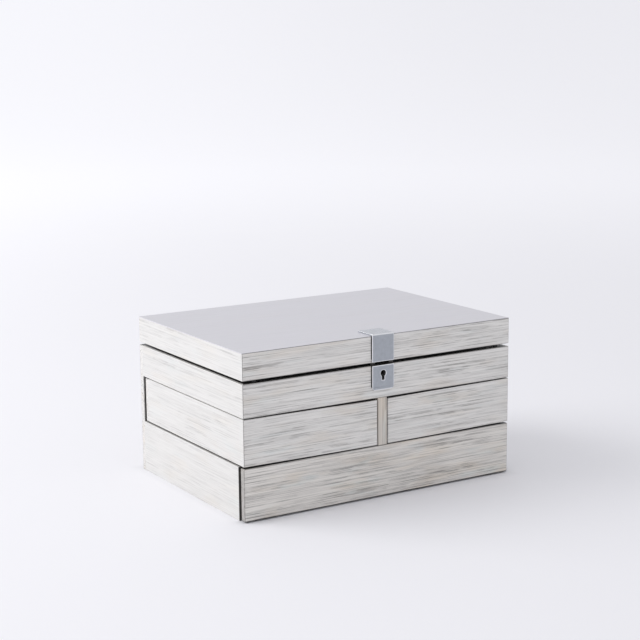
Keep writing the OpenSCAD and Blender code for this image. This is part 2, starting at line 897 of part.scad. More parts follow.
module left_drawer_lining() {
    x0 = block_x0;
    x1 = swing_x1 - swing_inner_t;
    y0 = y_front + swing_wall_t;
    y1 = block_y1;
    z0 = swing_floor_z1 + card_t + card_gap;
    z1 = swing_z1 - card_drop;
    step = card_t + card_gap;
    color(velvet) {
        difference() {
            sagged_board(x0, x1, y0, y1, swing_floor_z1, swing_floor_z1 + card_t);
            board(x0 - cut, block_x1 + card_gap, block_y0 - card_gap, y1 + cut, swing_z0, swing_z1);
        }
        sagged_board(x0, x1, y0, y0 + card_t, z0, z1);
        sagged_board(block_x1 + card_gap, x1, y1 - card_t, y1, z0, z1);
        sagged_board(x0, x0 + card_t, y0 + step, block_y0 - step, z0, z1);
        sagged_board(x1 - card_t, x1, y0 + step, y1 - step, z0, z1);
        sagged_board(x0, block_x1, block_y0 - card_t, block_y0, z0, z1);
        sagged_board(block_x1 + card_gap, block_x1 + step, block_y0 - card_t, y1 - step, z0, z1);
    }
}

module right_drawer_front() {
    on_right() left_drawer_front();
}

module right_drawer_outer_side() {
    on_right() left_drawer_outer_side();
}

module right_drawer_inner_side() {
    on_right() left_drawer_inner_side();
}

module right_drawer_rear() {
    on_right() left_drawer_rear();
}

module right_drawer_bottom() {
    on_right() left_drawer_bottom();
}

module right_pivot_block() {
    on_right() left_pivot_block();
}

module right_drawer_lining() {
    on_right() left_drawer_lining();
}

// ---------- bottom drawer ----------

module bottom_drawer_front() {
    color(silvered_wood)
        board(-x_out, x_out, y_front, y_slot, toe_gap, drawer_z1);
}

module bottom_drawer_left_side() {
    color(inner_wood)
        board(-box_x1, -box_x0, y_slot, box_y1, box_z0, box_z1);
}

module bottom_drawer_right_side() {
    on_right() bottom_drawer_left_side();
}

module bottom_drawer_back() {
    color(inner_wood)
        board(-box_x0, box_x0, box_y0, box_y1, box_z0, box_z1);
}

module bottom_drawer_bottom() {
    color(inner_wood)
        board(-box_x0, box_x0, y_slot, box_y0, box_z0 + box_floor_up, box_floor_z1);
}

module bottom_drawer_lining() {
    card_box(-box_x0, box_x0, y_slot, box_y0, box_floor_z1, box_z1 - card_drop);
}

back_panel();
tray_front_rail();
tray_left_side();
tray_right_side();
tray_back_rail();
tray_floor();
centre_partition();
deck_panel();
lower_left_side();
lower_right_side();
bottom_panel();
base_felt();
drawer_runners();
drawer_stop();
tray_lining();
tray_dividers();
ring_rolls();
lid_bumpers();
hinge_case_leaves();
hinge_pins();
case_screws();
keyhole_plate();
lock_case();
lock_key_post();
lock_bolt();
swing_pins();
swing_washers();
lid_top_panel();
lid_top_veneer();
lid_front_rail();
lid_back_rail();
lid_left_rail();
lid_right_rail();
lid_lining();
mirror_bezel();
lid_mirror();
hinge_lid_leaves();
lid_screws();
lid_strap();
lock_link_plate();
left_drawer_front();
left_drawer_outer_side();
left_drawer_inner_side();
left_drawer_rear();
left_drawer_bottom();
left_pivot_block();
left_drawer_lining();
right_drawer_front();
right_drawer_outer_side();
right_drawer_inner_side();
right_drawer_rear();
right_drawer_bottom();
right_pivot_block();
right_drawer_lining();
bottom_drawer_front();
bottom_drawer_left_side();
bottom_drawer_right_side();
bottom_drawer_back();
bottom_drawer_bottom();
bottom_drawer_lining();
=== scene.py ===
"""Dresses a jewellery chest with drawers: silvered boards, metalwork, velvet, felt and a pale studio.

Every size is in metres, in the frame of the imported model.
"""

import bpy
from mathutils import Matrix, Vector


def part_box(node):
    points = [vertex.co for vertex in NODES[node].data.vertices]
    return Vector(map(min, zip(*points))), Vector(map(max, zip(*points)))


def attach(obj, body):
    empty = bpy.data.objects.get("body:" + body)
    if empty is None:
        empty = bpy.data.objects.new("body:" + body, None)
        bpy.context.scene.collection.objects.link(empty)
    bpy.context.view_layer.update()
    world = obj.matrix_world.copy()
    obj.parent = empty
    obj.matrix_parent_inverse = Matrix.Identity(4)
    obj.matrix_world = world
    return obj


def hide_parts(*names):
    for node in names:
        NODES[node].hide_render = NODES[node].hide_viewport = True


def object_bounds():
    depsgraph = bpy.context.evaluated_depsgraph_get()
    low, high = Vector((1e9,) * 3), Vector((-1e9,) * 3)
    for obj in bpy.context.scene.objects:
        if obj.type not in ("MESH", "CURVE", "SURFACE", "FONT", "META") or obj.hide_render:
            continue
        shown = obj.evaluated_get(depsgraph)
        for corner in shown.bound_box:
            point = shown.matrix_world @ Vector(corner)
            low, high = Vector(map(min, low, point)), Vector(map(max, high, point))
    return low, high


bl_info = {
    "name": "Jewellery Chest",
    "version": (1, 0, 0),
    "blender": (4, 5, 0),
    "location": "3D View > Sidebar > Jewellery Chest",
    "description": "Finishes, linings and studio for a jewellery chest with drawers",
    "category": "Object",
}

import math

import bmesh
import bpy
from mathutils import Matrix, Vector, noise

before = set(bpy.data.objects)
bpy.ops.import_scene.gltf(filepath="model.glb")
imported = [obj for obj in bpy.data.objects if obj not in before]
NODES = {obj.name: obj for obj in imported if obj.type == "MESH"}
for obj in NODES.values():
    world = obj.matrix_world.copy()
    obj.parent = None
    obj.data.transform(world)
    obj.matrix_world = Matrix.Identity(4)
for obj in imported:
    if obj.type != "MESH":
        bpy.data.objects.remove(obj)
CAD_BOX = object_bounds()
MM = 0.001

# Boards that are flush with each other share one outer box, so that only its edges are eased
LID_BOARDS = ("lid_top_veneer", "lid_front_rail", "lid_back_rail", "lid_left_rail", "lid_right_rail")
TRAY_BOARDS = ("tray_front_rail", "tray_left_side", "tray_right_side")
LOWER_SIDES = ("lower_left_side", "lower_right_side")
SWING_BOARDS = ("front", "outer_side", "rear", "inner_side")

# Corners nearer than this are one corner, and faces that meet at less than this angle are one face
SAME_CORNER = 0.005 * MM
SAME_FACE = math.radians(0.3)

# How near an edge is to a face of its box to lie on it, and how far the swing drawers' sloping edges stray
ON_FACE = 0.05 * MM
SLOPE = 1.3 * MM

# Length and width of the patches where the wash is thin, warm or cool, and how far a brush stroke sways
THIN_PATCH = (0.07, 0.022)
WARM_PATCH = (0.06, 0.014)
COOL_PATCH = (0.05, 0.012)
BRUSH_SWAY = 0.0005

# A board's shade, which on the side boards is a darker wash as painted shade, and how strongly it shows
# streaks, warm patches, worn edges, thirsty end grain, and dark lines of painted shade along its front edges
# and its foot.
# The stain, which is partly painted shade in the gaps, starts and is full at two depths behind the outside.
# Grime and painted shade gather beside the named fitting.
FRONT_LOOK = {
    "streaks": 1.0,
    "warmth": 0.15,
    "shade": 0.99,
    "worn": 0.6,
    "end_grain": 0.0,
    "front_shade_line": 0.0,
    "foot_shadow_line": 0.0,
    "stain_and_shade_depths": (0.5 * MM, 1.2 * MM),
    "beside": None,
}
SIDE_LOOK = {
    **FRONT_LOOK,
    "streaks": 0.5,
    "warmth": 0.08,
    "shade": 0.89,
    "worn": 0.0,
    "stain_and_shade_depths": (1.8 * MM, 3.4 * MM),
}
OWN_LOOKS = {
    "lid_top_veneer": {"streaks": 0.13, "warmth": 0.0, "worn": 0.0, "front_shade_line": 0.7, "stain_and_shade_depths": None},
    "lid_front_rail": {"beside": "lid_strap"},
    "tray_front_rail": {"beside": "keyhole_plate"},
    "bottom_drawer_front": {"streaks": 1.3, "warmth": 0.45, "end_grain": 0.6, "foot_shadow_line": 0.9},
    "lower_left_side": {"front_shade_line": 0.97},
    "lower_right_side": {"front_shade_line": 0.97},
    "centre_partition": {"streaks": 0.9, "warmth": 1.0, "shade": 0.85, "worn": 0.3},
}


# ---------------------------------------------------------------- settings


def colour(name, description, default):
    """A colour that a user can change."""
    return bpy.props.FloatVectorProperty(
        name=name, description=description, default=default, subtype="COLOR", size=3, min=0, max=1
    )


def length(name, description, default):
    """A size in metres that a user can change."""
    return bpy.props.FloatProperty(
        name=name,
        description=description,
        default=default,
        min=0,
        subtype="DISTANCE",
        unit="LENGTH",
        precision=5,
    )


def share(name, description, default, highest=1.0):
    """A share from 0 to 1, or to another highest value."""
    return bpy.props.FloatProperty(
        name=name, description=description, default=default, min=0, max=highest, subtype="FACTOR"
    )


class SilverWoodSettings(bpy.types.PropertyGroup):
    """The whitewashed boards of the outside"""

    wash: colour("Wash", "Pale paint of the boards", (0.80, 0.792, 0.773))
    streak: colour("Streak", "Grey left between the brush strokes", (0.20, 0.19, 0.18))
    veneer: colour("Top veneer", "Smooth silvery wash of the lid's top", (0.635, 0.625, 0.665))
    warm: colour("Warm patch", "Wood that shows warm through the wash", (0.72, 0.64, 0.54))
    cool: colour("Cool patch", "Wash that leans blue or green", (0.66, 0.72, 0.715))
    # Dark stain on the hidden faces, partly painted shade in the gaps; also the colour of the painted shade
    # lines and the grime
    stain_and_shade: colour("Stain", "Dark stain on the hidden faces between the tiers", (0.030, 0.028, 0.027))
    stroke_length: length("Stroke length", "Usual length of a brush stroke", 0.026)
    stroke_width: length("Stroke width", "Usual width of a brush stroke", 0.00088)
    relief: length("Relief", "Depth of the brushed grain", 0.00010)
    roughness: share("Roughness", "Gloss of the paint under the lacquer", 0.5)
    lacquer: share("Lacquer", "Strength of the clear coat", 0.25)
    lacquer_roughness: share("Lacquer roughness", "How satin the clear coat is", 0.28)
    eased: length("Eased edge", "Rounding of the outer edges", 0.0004)
    drawer_eased: length("Drawer front edge", "Rounding of the long drawer's front", 0.0010)


class InnerWoodSettings(bpy.types.PropertyGroup):
    """The plain boards inside"""

    pale: colour("Pale wood", "Early wood", (0.50, 0.43, 0.33))
    dark: colour("Dark wood", "Late wood", (0.34, 0.27, 0.19))
    ring_width: length("Ring width", "Distance between growth lines", 0.0035)
    relief: length("Relief", "Depth of the sanded grain", 0.00006)
    roughness: share("Roughness", "Sanded and sealed surface", 0.62)
    eased: length("Eased edge", "Rounding of the sanded edges", 0.0004)


class MetalSettings(bpy.types.PropertyGroup):
    """The strap, plates, hinges and lock"""

    satin: colour("Satin metal", "Strap, keyhole plate, hinges and mirror frame", (0.41, 0.435, 0.47))
    # Painted shade: the colour laid on the side faces of the strap and keyhole plate
    cut: colour("Cut edge", "Dark cut edges of the strap and keyhole plate", (0.045, 0.045, 0.05))
    # Rubbed edges, and painted highlights on the fittings' edges, tops and keyhole rim, take this bright
    # colour
    polish_and_highlight: colour("Polished edge", "Edges and rims that are rubbed bright", (0.93, 0.94, 0.96))
    steel: colour("Lock steel", "Lock, pins and screws", (0.20, 0.195, 0.19))
    roughness: share("Roughness", "Satin finish", 0.36)
    brush_width: length("Brush width", "Width of a brush line", 0.00012)
    brush_length: length("Brush length", "Length of a brush line", 0.006)
    eased: length("Eased edge", "Rounding of the metal's edges", 0.00035)
    strap_eased: length("Strap edge", "Rounding of the strap's and keyhole plate's edges", 0.00055)
    key_radius: length("Keyhole round", "Radius of the keyhole's round part", 0.0031)
    key_drop: length("Keyhole drop", "Depth of the keyhole's centre below the plate's top", 0.0081)
    key_width: length("Keyhole slot width", "Width of the keyhole's slot", 0.0030)
    key_length: length("Keyhole slot length", "Length of the slot below the centre", 0.0066)
    # The keyhole's bright rim is a painted highlight
    key_rim: length("Keyhole rim", "Width of the bright rim around the keyhole", 0.0007)


class ClothSettings(bpy.types.PropertyGroup):
    """Velvet linings and the felt under the chest"""

    velvet: colour("Velvet", "Pile seen from above", (0.017, 0.018, 0.024))
    nap: colour("Nap", "Pile brushed the other way", (0.035, 0.037, 0.046))
    sheen: colour("Sheen", "Light caught by the pile's tips", (0.55, 0.57, 0.66))
    felt: colour("Felt", "Felt under the chest", (0.020, 0.020, 0.022))
    pile: length("Pile", "Spacing of the tufts", 0.00035)
    card_round: length("Card rounding", "Velvet folded over a card's edge", 0.0006)
    card_swell: length("Card swell", "How far the padding lifts the velvet", 0.00035)
    roll_slack: length("Roll slack", "Depth of the puckers in a ring roll", 0.00045)


class StudioSettings(bpy.types.PropertyGroup):
    """Floor, lights and camera"""

    floor: colour("Floor", "Pale floor and backdrop", (0.86, 0.855, 0.885))
    # The floor's light is painted light: the floor glows, more far off and on the window's side
    near_glow: share("Floor light", "Light that the floor gives back near the chest", 0.045)
    glow: share("Backdrop light", "Light of the far backdrop", 0.27)
    glow_start: length("Backdrop light starts", "Distance from the chest where it starts to grow", 0.6)
    glow_full: length("Backdrop light full", "Distance from the chest where it is full", 3.2)
    right_share: share("Light on the right", "Share of the backdrop's light far from the window", 0.72)
    sky: colour("Fill light", "Soft light from all round", (0.97, 0.975, 1.0))
    sky_strength: share("Fill strength", "Strength of the fill light", 0.74, 5.0)
    key_power: bpy.props.FloatProperty(
        name="Key power", description="Window light from the left", default=52.0, min=0, unit="POWER"
    )
    key_size: length("Key size", "Side of the window light", 2.4)
    key_place: bpy.props.FloatVectorProperty(
        name="Key place", description="Middle of the window light", default=(-2.3, 1.3, 1.6), subtype="XYZ"
    )
    camera_place: bpy.props.FloatVectorProperty(
        name="Camera place",
        description="Where the camera stands",
        default=(-0.8148, -1.3225, 0.4585),
        subtype="XYZ",
    )
    camera_lens: bpy.props.FloatProperty(
        name="Lens", description="Focal length", default=88.18, min=1, unit="CAMERA"
    )
    camera_turn: bpy.props.FloatProperty(
        name="Turn",
        description="Turned from the back towards the right",
        default=math.radians(31.548),
        subtype="ANGLE",
    )
    camera_dip: bpy.props.FloatProperty(
        name="Dip", description="Looking down", default=math.radians(10.973), subtype="ANGLE"
    )
    camera_roll: bpy.props.FloatProperty(
        name="Roll", description="Tilt about the line of sight", default=math.radians(-0.541), subtype="ANGLE"
    )


class ChestSettings(bpy.types.PropertyGroup):
    """All the settings of the chest"""

    wood: bpy.props.PointerProperty(type=SilverWoodSettings, name="Silvered wood", description="Outer boards")
    inner: bpy.props.PointerProperty(type=InnerWoodSettings, name="Inner wood", description="Inner boards")
    metal: bpy.props.PointerProperty(type=MetalSettings, name="Metal", description="Metalwork")
    cloth: bpy.props.PointerProperty(type=ClothSettings, name="Cloth", description="Velvet and felt")
    studio: bpy.props.PointerProperty(type=StudioSettings, name="Studio", description="Floor, lights, camera")


def settings():
    """The chest's settings on the open scene."""
    return bpy.context.scene.jewellery_chest


# ---------------------------------------------------------------- shader helpers


def put(tree, kind, inputs=None, **facts):
    """Adds a shader node, sets its facts, and fills its sockets with values or links."""
    node = tree.nodes.new("ShaderNode" + kind)
    for key, value in facts.items():
        setattr(node, key, value)
    for key, value in (inputs or {}).items():
        socket = node.inputs[key]
        if isinstance(value, bpy.types.NodeSocket):
            tree.links.new(value, socket)
        else:
            socket.default_value = value
    return node


def calc(tree, operation, *values, clamp=False):
    """A number worked out from other numbers."""
    return put(tree, "Math", dict(enumerate(values)), operation=operation, use_clamp=clamp).outputs[0]


def chain(tree, operation, first, *others):
    """A number worked out by taking in one value after another."""
    for value in others:
        first = calc(tree, operation, first, value)
    return first


def weigh(tree, *parts):
    """The sum of numbers, each times its weight."""
    return chain(tree, "ADD", *(calc(tree, "MULTIPLY", value, weight) for value, weight in parts))


def split(tree, vector):
    """A vector's X, Y and Z."""
    return put(tree, "SeparateXYZ", {0: vector}).outputs


def absolute(tree, vector):
    """A vector with its minus signs taken off."""
    return put(tree, "VectorMath", {0: vector}, operation="ABSOLUTE").outputs[0]


def step(tree, value, low, high, to_low=0.0, to_high=1.0):
    """A smooth step from to_low at low to to_high at high."""
    node = put(
        tree,
        "MapRange",
        {"Value": value, "From Min": low, "From Max": high, "To Min": to_low, "To Max": to_high},
        interpolation_type="SMOOTHSTEP",
    )
    return node.outputs["Result"]


def blend_colours(tree, amount, first, second):
    """first where amount is 0 and second where it is 1."""
    node = tree.nodes.new("ShaderNodeMix")
    node.data_type = "RGBA"
    for socket, value in ((node.inputs[0], amount), (node.inputs[6], first), (node.inputs[7], second)):
        if isinstance(value, bpy.types.NodeSocket):
            tree.links.new(value, socket)
        elif isinstance(value, float):
            socket.default_value = value
        else:
            socket.default_value = (*value, 1.0)
    return node.outputs[2]


def mottle(tree, place, sizes, shift=(0.0, 0.0, 0.0), detail=3.0, roughness=0.5):
    """Noise from 0 to 1 whose patches have these sizes along X, Y and Z."""
    mapped = put(
        tree, "Mapping", {"Vector": place, "Location": shift, "Scale": tuple(1 / size for size in sizes)}
    )
    cloud = put(
        tree,
        "TexNoise",
        {"Vector": mapped.outputs[0], "Scale": 1.0, "Detail": detail, "Roughness": roughness},
    )
    return cloud.outputs["Fac"]


def along(axis, run, across):
    """Sizes that are run along one axis and across along the other two."""
    return tuple(run if i == axis else across for i in range(3))


def start_material(name):
    """A new material, its node tree, its Principled shader and the piece's own coordinates."""
    material = bpy.data.materials.new(name)
    material.use_nodes = True
    tree = material.node_tree
    shader = tree.nodes["Principled BSDF"]
    place = put(tree, "TexCoord").outputs["Object"]
    return material, tree, shader, place


def join(tree, shader, **links):
    """Links sockets to the shader's inputs, with spaces for underscores in their names."""
    for key, value in links.items():
        tree.links.new(value, shader.inputs[key.replace("_", " ")])


def raise_grain(tree, shader, height, depth, strength):
    """Bumps the surface by height times depth metres."""
    bump = put(tree, "Bump", {"Height": height, "Distance": depth, "Strength": strength})
    tree.links.new(bump.outputs[0], shader.inputs["Normal"])


def behind_faces(tree, place, low, high):
    """How far a point is behind a box's nearer face along X, Y and Z."""
    below = put(tree, "VectorMath", {0: place, 1: tuple(low)}, operation="SUBTRACT").outputs[0]
    above = put(tree, "VectorMath", {0: tuple(high), 1: place}, operation="SUBTRACT").outputs[0]
    return put(tree, "VectorMath", {0: below, 1: above}, operation="MINIMUM").outputs[0]


def edge_distance(tree, place, low, high):
    """How far a point on a box's surface is from the box's nearest edge."""
    x, y, z = split(tree, absolute(tree, behind_faces(tree, place, low, high)))
    least = calc(tree, "MINIMUM", x, y)
    most = calc(tree, "MAXIMUM", x, y)
    return calc(tree, "MAXIMUM", least, calc(tree, "MINIMUM", most, z))


# ---------------------------------------------------------------- materials


def depth_inside(tree, place, low, high):
    """How far a point is behind the upright outer faces of a box."""
    x, y, _ = split(tree, behind_faces(tree, place, low, high))
    return calc(tree, "MINIMUM", x, y)


def squareness(tree):
    """How squarely the surface faces along X, Y and Z, from 0 to 1."""
    return split(tree, absolute(tree, put(tree, "TexCoord").outputs["Normal"]))


def end_grain(tree, axis):
    """1 on the faces that cut across the grain."""
    return step(tree, squareness(tree)[axis], 0.75, 0.95)


def grime_and_shade_beside(tree, place, low, high):
    """Grime and painted shade on the wood: a thin dark line along the left edge of a fitting that goes on
    under it.
    """
    x, _, z = split(tree, place)
    started = step(tree, x, low.x - 0.9 * MM, low.x - 0.5 * MM)
    under = step(tree, x, high.x - 1.0 * MM, high.x - 0.5 * MM, 0.85, 0.0)
    clear_of_corner = step(tree, z, low.z + 2.5 * MM, low.z + 3.5 * MM)
    return chain(tree, "MULTIPLY", started, under, clear_of_corner)


def brush_marks(tree, place, axis, seed, streaks):
    """A brush's strokes, bands, deep marks and hairs along an axis, and how bare they leave the wood."""
    wood = settings().wood
    run, width = wood.stroke_length, wood.stroke_width
    shift = (seed * 1.7, seed * 2.3, seed * 3.1)
    wander = put(tree, "TexNoise", {"Vector": place, "Scale": 11.0, "Detail": 1.0}).outputs["Color"]
    centred = put(tree, "VectorMath", {0: wander, 1: (0.5, 0.5, 0.5)}, operation="SUBTRACT").outputs[0]
    across = along(axis, 0.0, BRUSH_SWAY)
    sway = put(tree, "VectorMath", {0: centred, 1: across}, operation="MULTIPLY").outputs[0]
    path = put(tree, "VectorMath", {0: place, 1: sway}, operation="ADD").outputs[0]
    stroke = mottle(tree, path, along(axis, run * 5, width), shift, 2.5, 0.6)
    broad = mottle(tree, path, along(axis, run * 3, width * 4.5), shift, 2.0, 0.5)
    fibre = mottle(tree, path, along(axis, run * 2, width * 0.5), shift, 2.0, 0.5)
    lift = mottle(tree, place, along(axis, run * 0.7, width * 3.5), (seed, seed, 9.0), 2.0, 0.5)
    cover = mottle(tree, place, along(axis, *THIN_PATCH), shift, 2.0, 0.5)
    thin_wash = step(tree, cover, 0.34, 0.66, 0.45, 1.0)
    broken = step(tree, lift, 0.40, 0.58, 0.25, 1.0)
    deep = chain(tree, "MULTIPLY", step(tree, stroke, 0.48, 0.62), thin_wash, broken)
    wide = step(tree, broad, 0.42, 0.68)
    hair = step(tree, fibre, 0.48, 0.66)
    bare = weigh(tree, (deep, 0.60), (wide, 0.10), (hair, 0.30))
    return stroke, broad, deep, hair, calc(tree, "MULTIPLY", bare, streaks, clamp=True)


def patchy_wash(tree, place, axis, seed, wash, look):
    """The wash, with its warm and cool patches."""
    wood = settings().wood
    warmth, streaks = look["warmth"], look["streaks"]
    warm = mottle(tree, place, along(axis, *WARM_PATCH), (seed, 4.0, seed), 2.0, 0.5)
    cool = mottle(tree, place, along(axis, *COOL_PATCH), (7.0, seed, 3.0), 2.0, 0.5)
    warm = step(tree, warm, 0.48, 0.72, 0.6 * warmth, 0.7 * warmth + streaks * 0.3)
    cool = step(tree, cool, 0.55, 0.75, 0.0, 0.45 * streaks)
    return blend_colours(tree, cool, blend_colours(tree, warm, wash, wood.warm), wood.cool)


def aged_board(tree, place, body, stroke, axis, edges, outside, look):
    """A board's colour, with the end grain, painted shade lines, grime and painted shade, and a stain that is
    partly painted shade, as its look asks for.
    """
    wood = settings().wood
    if look["end_grain"]:
        thirsty = calc(tree, "MULTIPLY", end_grain(tree, axis), look["end_grain"])
        body = blend_colours(tree, thirsty, body, wood.streak)
    # Painted shade: faces that look towards the front are darkened, as a dark line on the veneer's and lower
    # sides' front edges
    if look["front_shade_line"]:
        towards_back = split(tree, put(tree, "TexCoord").outputs["Normal"])[1]
        line = step(tree, towards_back, -0.9, -0.3, look["front_shade_line"], 0.0)
        body = blend_colours(tree, line, body, wood.stain_and_shade)
    # Painted shadow: the bottom 1.3 mm of the board is darkened, as a dark line at its foot
    if look["foot_shadow_line"]:
        bottom = edges[0].z
        foot = step(tree, split(tree, place)[2], bottom + 0.5 * MM, bottom + 1.3 * MM, look["foot_shadow_line"], 0.0)
        body = blend_colours(tree, foot, body, wood.stain_and_shade)
    # Grime and painted shade: a dark line along the fitting's left edge
    if look["beside"]:
        body = blend_colours(tree, grime_and_shade_beside(tree, place, *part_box(look["beside"])), body, wood.stain_and_shade)
    # Stain on faces behind the outside, which is partly painted shade in the gaps between the tiers
    if look["stain_and_shade_depths"]:
        hidden = step(tree, depth_inside(tree, place, *outside), *look["stain_and_shade_depths"])
        stain_and_shade = blend_colours(tree, stroke, wood.stain_and_shade, tuple(2 * c for c in wood.stain_and_shade))
        body = blend_colours(tree, hidden, body, stain_and_shade)
    return body


def silvered_wood(name, axis, seed, edges, outside, look):
    """Wash brushed over grey wood along an axis, rubbed at a box's edges, and stained inside another box,
    partly as painted shade.
    """
    wood = settings().wood
    material, tree, shader, place = start_material(name)
    stroke, broad, deep, hair, bare = brush_marks(tree, place, axis, seed, look["streaks"])
    # Painted shade: the look's shade darkens the side boards' wash below the fronts'
    wash = tuple(look["shade"] * c for c in (wood.veneer if name.endswith("top_veneer") else wood.wash))
    body = blend_colours(tree, bare, patchy_wash(tree, place, axis, seed, wash, look), wood.streak)
    worn = step(tree, edge_distance(tree, place, *edges), 0.3 * MM, 1.0 * MM, look["worn"], 0.0)
    worn = calc(tree, "MULTIPLY", worn, step(tree, broad, 0.3, 0.6, 0.6, 1.0))
    body = blend_colours(tree, worn, body, tuple(0.4 * c for c in wood.streak))
    body = aged_board(tree, place, body, stroke, axis, edges, outside, look)
    gloss = step(tree, bare, 0.0, 1.0, wood.roughness - 0.06, wood.roughness + 0.14)
    join(tree, shader, Base_Color=body, Roughness=gloss)
    shader.inputs["Coat Weight"].default_value = wood.lacquer
    shader.inputs["Coat Roughness"].default_value = wood.lacquer_roughness
    height = calc(tree, "SUBTRACT", 1.0, calc(tree, "ADD", deep, calc(tree, "MULTIPLY", hair, 0.4)))
    raise_grain(tree, shader, height, wood.relief * look["streaks"], 0.6)
    return material


def sanded_wood(name, axis, seed):
    """Plain sealed wood with soft growth lines along an axis."""
    inner = settings().inner
    material, tree, shader, place = start_material(name)
    shift = (seed, seed * 0.7, seed * 1.3)
    rings = mottle(tree, place, along(axis, 0.16, inner.ring_width), shift, 2.0, 0.4)
    fibre = mottle(tree, place, along(axis, 0.012, 0.0004), shift, 3.0, 0.6)
    tone = mottle(tree, place, along(axis, 0.3, 0.05), shift, 1.0, 0.5)
    line = weigh(tree, (step(tree, rings, 0.42, 0.62), 0.55), (fibre, 0.3))
    line = calc(tree, "ADD", line, step(tree, tone, 0.3, 0.7, -0.12, 0.12), clamp=True)
    join(
        tree,
        shader,
        Base_Color=blend_colours(tree, line, inner.pale, inner.dark),
        Roughness=step(tree, fibre, 0.2, 0.8, inner.roughness - 0.08, inner.roughness + 0.1),
    )
    raise_grain(tree, shader, calc(tree, "SUBTRACT", 1.0, fibre), inner.relief, 0.5)
    return material


def keyhole_highlight_rim(tree, place, metal):
    """1 at the keyhole's edge, 0 beyond its bright rim, which is a painted highlight."""
    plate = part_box("keyhole_plate")
    x, _, z = split(tree, place)
    level = calc(tree, "SUBTRACT", z, plate[1].z - metal.key_drop)
    reach = calc(tree, "SQRT", weigh(tree, (x, x), (level, level)))
    from_round = calc(tree, "SUBTRACT", reach, metal.key_radius)
    from_side = calc(tree, "SUBTRACT", calc(tree, "ABSOLUTE", x), metal.key_width / 2)
    from_end = calc(tree, "SUBTRACT", -metal.key_length, level)
    from_slot = chain(tree, "MAXIMUM", from_side, from_end, level)
    nearest = calc(tree, "MINIMUM", from_round, from_slot)
    return step(tree, nearest, 0.4 * metal.key_rim, metal.key_rim, 1.0, 0.0)


def satin_metal(name, axis, tint, roughness, polish_and_highlight, fitting=None):
    """Metal with fine brush lines along an axis, light smudges, and edges rubbed bright that are partly
    painted highlights. A fitting's side faces are painted dark as shade, and it has painted highlights along
    its box's edges, on its top and around the keyhole.
    """
    metal = settings().metal
    material, tree, shader, place = start_material(name)
    lines = mottle(tree, place, along(axis, metal.brush_length, metal.brush_width), (0.0, 0.0, 0.0), 3.0, 0.7)
    smudge = mottle(tree, place, (0.009, 0.009, 0.009), (5.0, 1.0, 2.0), 3.0, 0.55)
    tarnish = mottle(tree, place, (0.003, 0.003, 0.003), (1.0, 8.0, 4.0), 4.0, 0.6)
    tone = weigh(tree, (lines, 0.5), (tarnish, 0.5))
    dark = tuple(0.92 * c for c in tint)
    light = tuple(min(1.0, 1.07 * c) for c in tint)
    x, y, z = squareness(tree)
    # Rubbed edges that are partly painted highlights: faces not square to an axis are brightened
    rubbed_and_highlight = step(tree, chain(tree, "MAXIMUM", x, y, z), 0.90, 0.995, polish_and_highlight, 0.0)
    body = blend_colours(tree, step(tree, tone, 0.3, 0.7), dark, light)
    if fitting is not None:
        # Painted shade: the side faces of a fitting, in front of the wood, are painted dark
        wood_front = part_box("tray_front_rail")[0].y
        ahead = step(tree, split(tree, place)[1], wood_front - 0.1 * MM, wood_front, 1.0, 0.0)
        cut = calc(tree, "MULTIPLY", step(tree, x, 0.94, 0.99), ahead)
        body = blend_colours(tree, cut, body, metal.cut)
        # Painted highlights: bright lines along the fitting's edges, faces that look up or down, and the
        # keyhole's rim
        line = step(tree, edge_distance(tree, place, *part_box(fitting)), 0.45 * MM, 0.85 * MM, 1.0, 0.0)
        line = calc(tree, "MULTIPLY", line, step(tree, x, 0.94, 0.99, 1.0, 0.0))
        top = step(tree, z, 0.94, 0.99, 0.0, 0.35)
        rubbed_and_highlight = chain(tree, "MAXIMUM", rubbed_and_highlight, line, top, keyhole_highlight_rim(tree, place, metal))
    gloss = step(tree, smudge, 0.3, 0.7, roughness - 0.05, roughness + 0.07)
    gloss = calc(tree, "MULTIPLY", gloss, calc(tree, "SUBTRACT", 1.0, calc(tree, "MULTIPLY", rubbed_and_highlight, 0.5)))
    join(tree, shader, Base_Color=blend_colours(tree, rubbed_and_highlight, body, tuple(metal.polish_and_highlight)), Roughness=gloss)
    shader.inputs["Metallic"].default_value = 1.0
    raise_grain(tree, shader, lines, 0.000012, 0.6)
    return material


def silvered_glass(low, high):
    """Mirror glass: clear silvering, a faint bloom and a green edge."""
    material, tree, shader, place = start_material("Silvered glass")
    bloom = mottle(tree, place, (0.05, 0.05, 0.05), (2.0, 3.0, 4.0), 3.0, 0.6)
    edge = edge_distance(tree, place, low, high)
    rim = step(tree, edge, 0.4 * MM, 1.6 * MM, 0.5, 0.0)
    clear = blend_colours(tree, bloom, (0.86, 0.885, 0.89), (0.90, 0.92, 0.92))
    join(
        tree,
        shader,
        Base_Color=blend_colours(tree, rim, clear, (0.45, 0.62, 0.55)),
        Roughness=step(tree, bloom, 0.45, 0.8, 0.012, 0.05),
    )
    shader.inputs["Metallic"].default_value = 1.0
    return material


